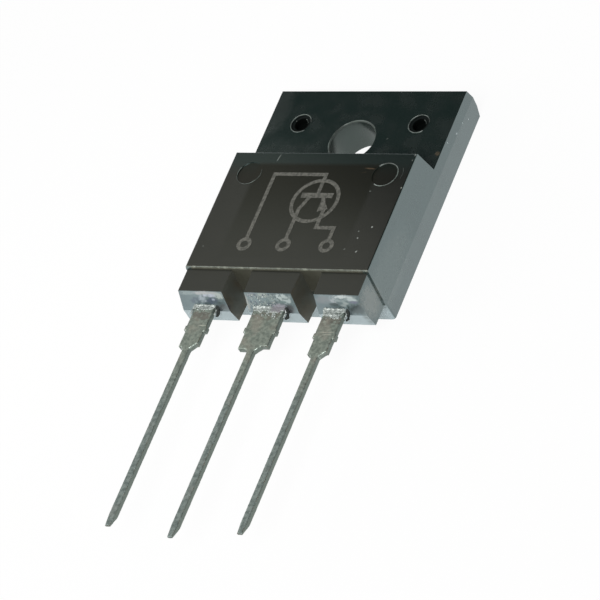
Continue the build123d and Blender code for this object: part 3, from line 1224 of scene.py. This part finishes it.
@dataclass
class FluxPatch:
    """Crust of flux on a part of the end face, in front of one lead."""

    lead: Lead
    face: EndFace
    low_x: float = -1.85
    high_x: float = 0.4
    low_z: float = 3.6
    high_z: float = 4.65
    thickness: float = 0.06
    lump_size: float = 0.3
    relief: float = 0.1
    cell: float = 0.035
    spatter: int = 45
    drop_sizes: Point = (0.025, 0.06)
    drop_lump_size: float = 0.08
    drop_relief: float = 0.02

    def at(self, across: float, height: float) -> Vector:
        """The place on the end face at a distance across the case and a height."""
        return Vector((across, self.face.y_at(height), height))

    def crust(self) -> bpy.types.Object:
        """Builds the crust as a slab whose uneven top breaks through the end face.

        Returns:
            The finished crust.
        """
        deselect()
        width = self.high_x - self.low_x
        slope = (self.high_z - self.low_z) / math.cos(math.radians(self.face.draft))
        columns, rows = (round(side / self.cell) for side in (width, slope))
        bpy.ops.mesh.primitive_grid_add(x_subdivisions=columns, y_subdivisions=rows, size=1)
        crust = bpy.context.object
        crust.scale = (width, slope, 1)
        crust.rotation_euler = (math.radians(90 - self.face.draft), 0, 0)
        crust.location = self.at((self.low_x + self.high_x) / 2, (self.low_z + self.high_z) / 2)
        bpy.ops.object.transform_apply(location=True, rotation=True, scale=True)
        roughen(crust, self.lump_size, self.relief)
        apply_modifier(crust, "SOLIDIFY", thickness=self.thickness, offset=-1)
        return finish_piece(crust, f"{self.lead.label}_flux_crust", FLUX_CRUST)

    def sparkle(self) -> bpy.types.Object:
        """Builds the fine solder spatter that glints on the crust.

        Returns:
            The finished spatter.
        """
        dice = random.Random(f"{SEED} {self.lead.label} spatter")
        placements = []
        for _ in range(self.spatter):
            size = dice.uniform(*self.drop_sizes)
            across = dice.uniform(self.low_x, self.high_x)
            place = self.at(across, dice.uniform(self.low_z, self.high_z))
            placements.append(placed(place, Vector((size * 1.3, size, size))))
        drops = scatter_balls(placements)
        roughen(drops, self.drop_lump_size, self.drop_relief)
        return finish_piece(drops, f"{self.lead.label}_solder_spatter", BEADED_SOLDER)

    def build(self) -> None:
        """Builds the crust and its spatter."""
        self.crust()
        self.sparkle()


# --- Mould flash ------------------------------------------------------------------------------
@dataclass
class FlashRing:
    """A hair of flash that stands along all or a part of a round mark."""

    name: str
    centre: Point
    radius: float
    surface: float
    start: float
    sweep: float
    width: float
    height: float
    step: float = 4.0
    lump_size: float = 0.5

    def build(self) -> bpy.types.Object:
        """Spins the flash's small section round the mark and closes its ends.

        Returns:
            The finished ring or arc.
        """
        deselect()
        bpy.ops.mesh.primitive_circle_add(
            vertices=6, radius=self.width / 2, fill_type="NOTHING", rotation=(math.pi / 2, 0, 0)
        )
        ring = bpy.context.object
        ring.scale = (1, 2 * self.height / self.width, 1)
        ring.location = (self.centre[0] + self.radius, self.centre[1], self.surface)
        bpy.ops.object.transform_apply(location=True, rotation=True, scale=True)
        with shaping(ring):
            bpy.ops.mesh.spin(
                steps=math.ceil(self.sweep / self.step),
                angle=-math.radians(self.sweep),
                center=(*self.centre, self.surface),
                axis=(0, 0, 1),
            )
            bpy.ops.mesh.select_all(action="SELECT")
            bpy.ops.mesh.remove_doubles(threshold=1e-4)
            bpy.ops.mesh.fill_holes(sides=6)
        middle = Matrix.Translation((*self.centre, 0))
        turn = Matrix.Rotation(math.radians(self.start), 4, "Z")
        ring.data.transform(middle @ turn @ middle.inverted())
        roughen(ring, self.lump_size, self.height * 0.7)
        return finish_piece(ring, self.name, FLASH)


# --- Printed diagram --------------------------------------------------------------------------
@dataclass
class ConnectionDiagram:
    """A plain connection diagram of a transistor, printed where such parts carry their marking."""

    surface: float
    stroke: float = 0.3
    ink: float = 0.012
    overlap: float = 0.0005
    symbol_centre: Point = (0.85, -7.35)
    symbol_radius: float = 1.85
    bar_y: float = -6.85
    bar_half: float = 1.1
    leg_root: float = 0.5
    leg: float = 1.05
    knee_drop: float = 0.75
    wire_gap: float = 0.55
    arrow_tip: Point = (0.55, -0.12)
    arrow_tail: Point = (0.95, -0.1)
    terminal_y: float = -11.35
    terminal_radius: float = 0.45
    terminals: Point3 = (-3.5, -0.2, 3.4)

    def slab(self, start: Point, end: Point, width: float, past: float = 0.0) -> bpy.types.Object:
        """A thin slab of ink between two points.

        Args:
            start: Middle of one end in millimetres.
            end: Middle of the other end.
            width: Width of the slab.
            past: How far it goes past both points.

        Returns:
            The slab.
        """
        run = Vector(end) - Vector(start)
        half = Vector((run.length / 2 + past, width / 2, self.ink))
        centre = Vector((*(Vector(end) + Vector(start)) / 2, self.surface))
        return add_block(centre - half, centre + half, math.degrees(math.atan2(run.y, run.x)))

    def line(self, start: Point, end: Point, width: float | None = None) -> bpy.types.Object:
        """One straight stroke with rounded ends.

        Args:
            start: Middle of one end in millimetres.
            end: Middle of the other end.
            width: Width of the stroke, if it isn't the usual one.

        Returns:
            The stroke.
        """
        wide = width or self.stroke
        block = self.slab(start, end, wide, past=wide / 2)
        apply_modifier(block, "BEVEL", width=wide * 0.45, segments=4, affect="VERTICES")
        return block

    def ring(self, centre: Point, radius: float) -> bpy.types.Object:
        """One round stroke.

        Args:
            centre: Its middle in millimetres.
            radius: Radius of the stroke's middle.

        Returns:
            The ring.
        """
        deselect()
        bpy.ops.mesh.primitive_circle_add(
            vertices=72,
            radius=radius + self.stroke / 2,
            fill_type="NGON",
            location=(*centre, self.surface - self.ink),
        )
        ring = bpy.context.object
        bpy.ops.object.transform_apply(location=True, rotation=True, scale=True)
        with shaping(ring):
            bpy.ops.mesh.inset(thickness=self.stroke)
            bpy.ops.mesh.delete(type="FACE")
            bpy.ops.mesh.select_all(action="SELECT")
            bpy.ops.mesh.extrude_region_move(TRANSFORM_OT_translate={"value": (0, 0, 2 * self.ink)})
        return ring

    def arrow(self, tip: Point, tail: Point, width: float = 0.85) -> bpy.types.Object:
        """A filled arrow head.

        Args:
            tip: Its point in millimetres.
            tail: Middle of its back edge.
            width: Width of its back edge.

        Returns:
            The arrow head.
        """
        head = self.slab(tail, tip, width)
        with shaping(head):
            mesh = bmesh.from_edit_mesh(head.data)
            for vertex in mesh.verts:
                place = vertex.co.xy
                vertex.select = (place - Vector(tip)).length < (place - Vector(tail)).length
            mesh.select_flush_mode()
            bpy.ops.transform.resize(value=(0.02, 0.02, 1), center_override=(*tip, self.surface))
        return head

    def build(self) -> bpy.types.Object:
        """Draws the symbol and its three wires.

        Returns:
            The finished diagram.
        """
        x, y = self.symbol_centre
        knee_y = y - self.knee_drop
        jog_y = y - self.symbol_radius - self.wire_gap
        roof_y = y + self.symbol_radius + self.wire_gap
        wire_end = self.terminal_y + self.terminal_radius
        base_x, _, emitter_x = self.terminals
        bar = [(x + side * self.bar_half, self.bar_y) for side in (-1, 1)]
        base_wire = [(x, self.bar_y), (x, roof_y), (base_x, roof_y), (base_x, wire_end)]
        left, right = x - self.leg, x + self.leg
        collector_wire = [(x - self.leg_root, self.bar_y), (left, knee_y), (left, wire_end)]
        emitter_wire = [(x + self.leg_root, self.bar_y), (right, knee_y), (right, jog_y)]
        emitter_wire += [(emitter_x, jog_y), (emitter_x, wire_end)]
        strokes = [self.ring(self.symbol_centre, self.symbol_radius), self.line(*bar, self.stroke * 1.5)]
        for wire in (base_wire, collector_wire, emitter_wire):
            strokes += [self.line(start, end) for start, end in zip(wire, wire[1:])]
        tip = (x + self.arrow_tip[0], self.bar_y + self.arrow_tip[1])
        tail = (x + self.arrow_tail[0], knee_y + self.arrow_tail[1])
        strokes.append(self.arrow(tip, tail))
        strokes += [self.ring((end, self.terminal_y), self.terminal_radius) for end in self.terminals]
        for layer, stroke in enumerate(strokes):
            stroke.data.transform(Matrix.Translation((0, 0, layer * self.overlap)))
        return finish_piece(join(strokes), "connection_diagram", MARKING_INK, 40.0)


# --- Studio -----------------------------------------------------------------------------------
@dataclass
class Lamp:
    """A soft square lamp."""

    name: str
    place: Vector
    side: float
    power: float
    tone: str = "#ffffff"
    turn: float = 0.0

    def build(self, target: Vector) -> None:
        """Hangs the lamp and turns it to the target.

        Args:
            target: What it looks at, in metres.
        """
        light = bpy.data.lights.new(self.name, "AREA")
        light.shape = "SQUARE"
        light.size = self.side
        light.energy = self.power
        light.color = linear(self.tone)[:3]
        lamp = bpy.data.objects.new(self.name, light)
        bpy.context.scene.collection.objects.link(lamp)
        lamp.visible_camera = False
        lamp.location = target + self.place
        aim = (-self.place).to_track_quat("-Z", "Y")
        lamp.rotation_euler = (aim @ Euler((0, 0, math.radians(self.turn))).to_quaternion()).to_euler()


@dataclass
class Studio:
    """Plain pale floor, soft light and the camera."""

    floor_side: float = 6.0
    floor_tone: str = "#f4f4f4"
    floor_glow: float = 0.94
    horizon_tone: str = "#ffffff"
    horizon_height: float = 0.1
    zenith_tone: str = "#2c2e2f"
    zenith_height: float = 0.5
    azimuth: float = 46.751
    elevation: float = 42.743
    roll: float = 34.142
    distance_mm: float = 316.76
    aim_right_mm: float = 1.372
    aim_up_mm: float = 0.818
    lens_mm: float = 268.59
    sensor_mm: float = 36.0
    clip: Point = (0.01, 20.0)
    lamps: tuple[Lamp, ...] = (
        Lamp("key_lamp", Vector((0.25, -0.55, 0.75)), 0.5, 8.0),
        Lamp("fill_lamp", Vector((-0.7, -0.35, 0.35)), 0.5, 3.0),
        Lamp("low_card", Vector((-0.0122, 0.0001, 0.0254)), 0.045, 0.0029, "#fffaf0", -23.0),
    )

    def floor(self) -> None:
        """Lays the floor: pale, with the part's shadow, and white where it is seen or mirrored."""
        deselect()
        bpy.ops.mesh.primitive_grid_add(x_subdivisions=8, y_subdivisions=8, size=self.floor_side)
        ground = bpy.context.object
        ground.name = "floor"
        material = empty_material("white_sweep")
        shader = Shader(material.node_tree)
        matt = shader.add("ShaderNodeBsdfDiffuse", inputs={"Color": linear(self.floor_tone)})
        glow = shader.add("ShaderNodeEmission", inputs={"Strength": 1.0})
        path = shader.add("ShaderNodeLightPath")
        share = 0.0
        for ray in ("Is Camera Ray", "Is Glossy Ray", "Is Transmission Ray"):
            inputs = {0: path.outputs[ray], 1: self.floor_glow, 2: share}
            share = shader.add("ShaderNodeMath", {"operation": "MULTIPLY_ADD"}, inputs).outputs[0]
        inputs = {0: share, 1: matt.outputs[0], 2: glow.outputs[0]}
        surface = shader.add("ShaderNodeMixShader", inputs=inputs)
        shader.add("ShaderNodeOutputMaterial", inputs={"Surface": surface.outputs[0]})
        ground.data.materials.append(material)

    def sky(self) -> None:
        """Sets the room's light: white at the floor's edge and dimmer overhead."""
        world = bpy.data.worlds.new("studio_room")
        bpy.context.scene.world = world
        world.use_nodes = True
        world.node_tree.nodes.clear()
        shader = Shader(world.node_tree)
        place = shader.add("ShaderNodeTexCoord")
        parts = shader.add("ShaderNodeSeparateXYZ", inputs={0: place.outputs["Generated"]})
        ramp = shader.add("ShaderNodeValToRGB", inputs={0: parts.outputs["Z"]})
        ramp.color_ramp.interpolation = "EASE"
        horizon, zenith = ramp.color_ramp.elements
        horizon.position, horizon.color = self.horizon_height, linear(self.horizon_tone)
        zenith.position, zenith.color = self.zenith_height, linear(self.zenith_tone)
        room = shader.add("ShaderNodeBackground", inputs={"Color": ramp.outputs["Color"]})
        shader.add("ShaderNodeOutputWorld", inputs={"Surface": room.outputs[0]})

    def camera(self) -> None:
        """Places the camera at a long lens's distance, turned about its own line of sight."""
        low, high = cad_box
        azimuth, elevation, roll = map(math.radians, (self.azimuth, self.elevation, self.roll))
        level = Vector((math.cos(azimuth), math.sin(azimuth), 0))
        flat = Vector((math.sin(azimuth), -math.cos(azimuth), 0))
        back = flat * math.cos(elevation) + Vector((0, 0, math.sin(elevation)))
        upright = back.cross(level)
        right = level * math.cos(roll) - upright * math.sin(roll)
        up = back.cross(right)
        data = bpy.data.cameras.new("camera")
        data.lens, data.sensor_width = self.lens_mm, self.sensor_mm
        data.clip_start, data.clip_end = self.clip
        camera = bpy.data.objects.new("camera", data)
        bpy.context.scene.collection.objects.link(camera)
        turn = Matrix((right, up, back)).transposed().to_4x4()
        place = (low + high) / 2 + (
            back * self.distance_mm + right * self.aim_right_mm + up * self.aim_up_mm
        ) * MM
        camera.matrix_world = Matrix.Translation(place) @ turn
        bpy.context.scene.camera = camera

    def build(self) -> None:
        """Sets up the floor, the room's light, the lamps and the camera."""
        self.floor()
        self.sky()
        low, high = cad_box
        for lamp in self.lamps:
            lamp.build((low + high) / 2)
        self.camera()
        bpy.context.scene.view_settings.view_transform = "Standard"


# --- The part ---------------------------------------------------------------------------------
@dataclass
class Transistor:
    """The whole part: the solids' finishes and every piece that is added to them."""

    face: EndFace = field(default_factory=EndFace)
    seat_depth: float = 0.12
    finishes: dict[str, Finish] = field(
        default_factory=lambda: {
            "epoxy": EPOXY,
            "dipped_copper": LEAD_FRAME_COPPER,
            "solder": DIE_SOLDER,
            "silicon": SILICON,
            "bond_wire": BOND_WIRE,
        }
    )

    def dress_solids(self) -> None:
        """Gives every solid the real finish of its slot."""
        for name, solid in frame["nodes"].items():
            slot = solid.data.materials[0].name
            solid.data.materials[0] = finish_material(self.finishes[slot])
            log.info("%s: %s", name, self.finishes[slot].name)

    def solder(self) -> None:
        """Adds the dip on each lead and a painted shadow beside its root, and the solder and flux round
        the roots.
        """
        for lead in Lead:
            SolderDip(lead, self.face).build()
            CharredCorner(lead, self.face).build()
        RootSolder(Lead.BASE, self.face, film=0.32, left_arm=0.85).build()
        RootSolder(
            Lead.COLLECTOR,
            self.face,
            film=0.4,
            beads=7,
            bead_size=0.12,
            bead_span=(-1.0, 0.05),
            left_arm=0.1,
            crumbs=45,
            crumb_run=0.6,
        ).build()
        RootSolder(
            Lead.EMITTER, self.face, film=0.42, left_arm=0.2, crumbs=14, crumb_run=0.4, strands=9
        ).build()
        FluxPatch(Lead.COLLECTOR, self.face).build()

    def flash(self) -> None:
        """Adds the hair of flash round the screw hole and the marks of ejectors and pins, and painted
        glints in the pin holes.
        """
        top = node_box("moulded_case")[1].z
        left, right = ((side * EJECTOR[0], -EJECTOR[1]) for side in (-1, 1))
        FlashRing("ejector_flash_left", left, EJECTOR_RADIUS, top, 150, 230, 0.04, 0.03).build()
        FlashRing("ejector_flash_right", right, 1.03, top, -123, 258, 0.08, 0.045).build()
        FlashRing("ejector_scuff_right", right, 1.44, top, -14, 38, 0.05, 0.03).build()
        FlashRing("screw_hole_flash", HOLE, 1.89, TAB_FRONT, 40, 230, 0.08, 0.04).build()
        seat = TAB_FRONT - self.seat_depth
        for side, word in ((-1, "left"), (1, "right")):
            pin = (side * PIN[0], PIN[1])
            FlashRing(f"pin_flash_{word}", pin, 0.83, TAB_FRONT, 10, 300, 0.08, 0.045).build()
            # Short pale arcs on the pin holes' seats: painted glints.
            FlashRing(f"pin_edge_flash_{word}", pin, 0.53, seat, 15, 50, 0.07, 0.05).build()

    def build(self) -> None:
        """Dresses the solids and adds the pieces in order."""
        self.dress_solids()
        self.solder()
        self.flash()
        ConnectionDiagram(surface=node_box("moulded_case")[1].z).build()


def main() -> None:
    """Builds the studio and the part."""
    logging.basicConfig(level=logging.INFO, format="%(name)s: %(message)s")
    Studio().build()
    Transistor().build()


if __name__ == "__main__":
    main()
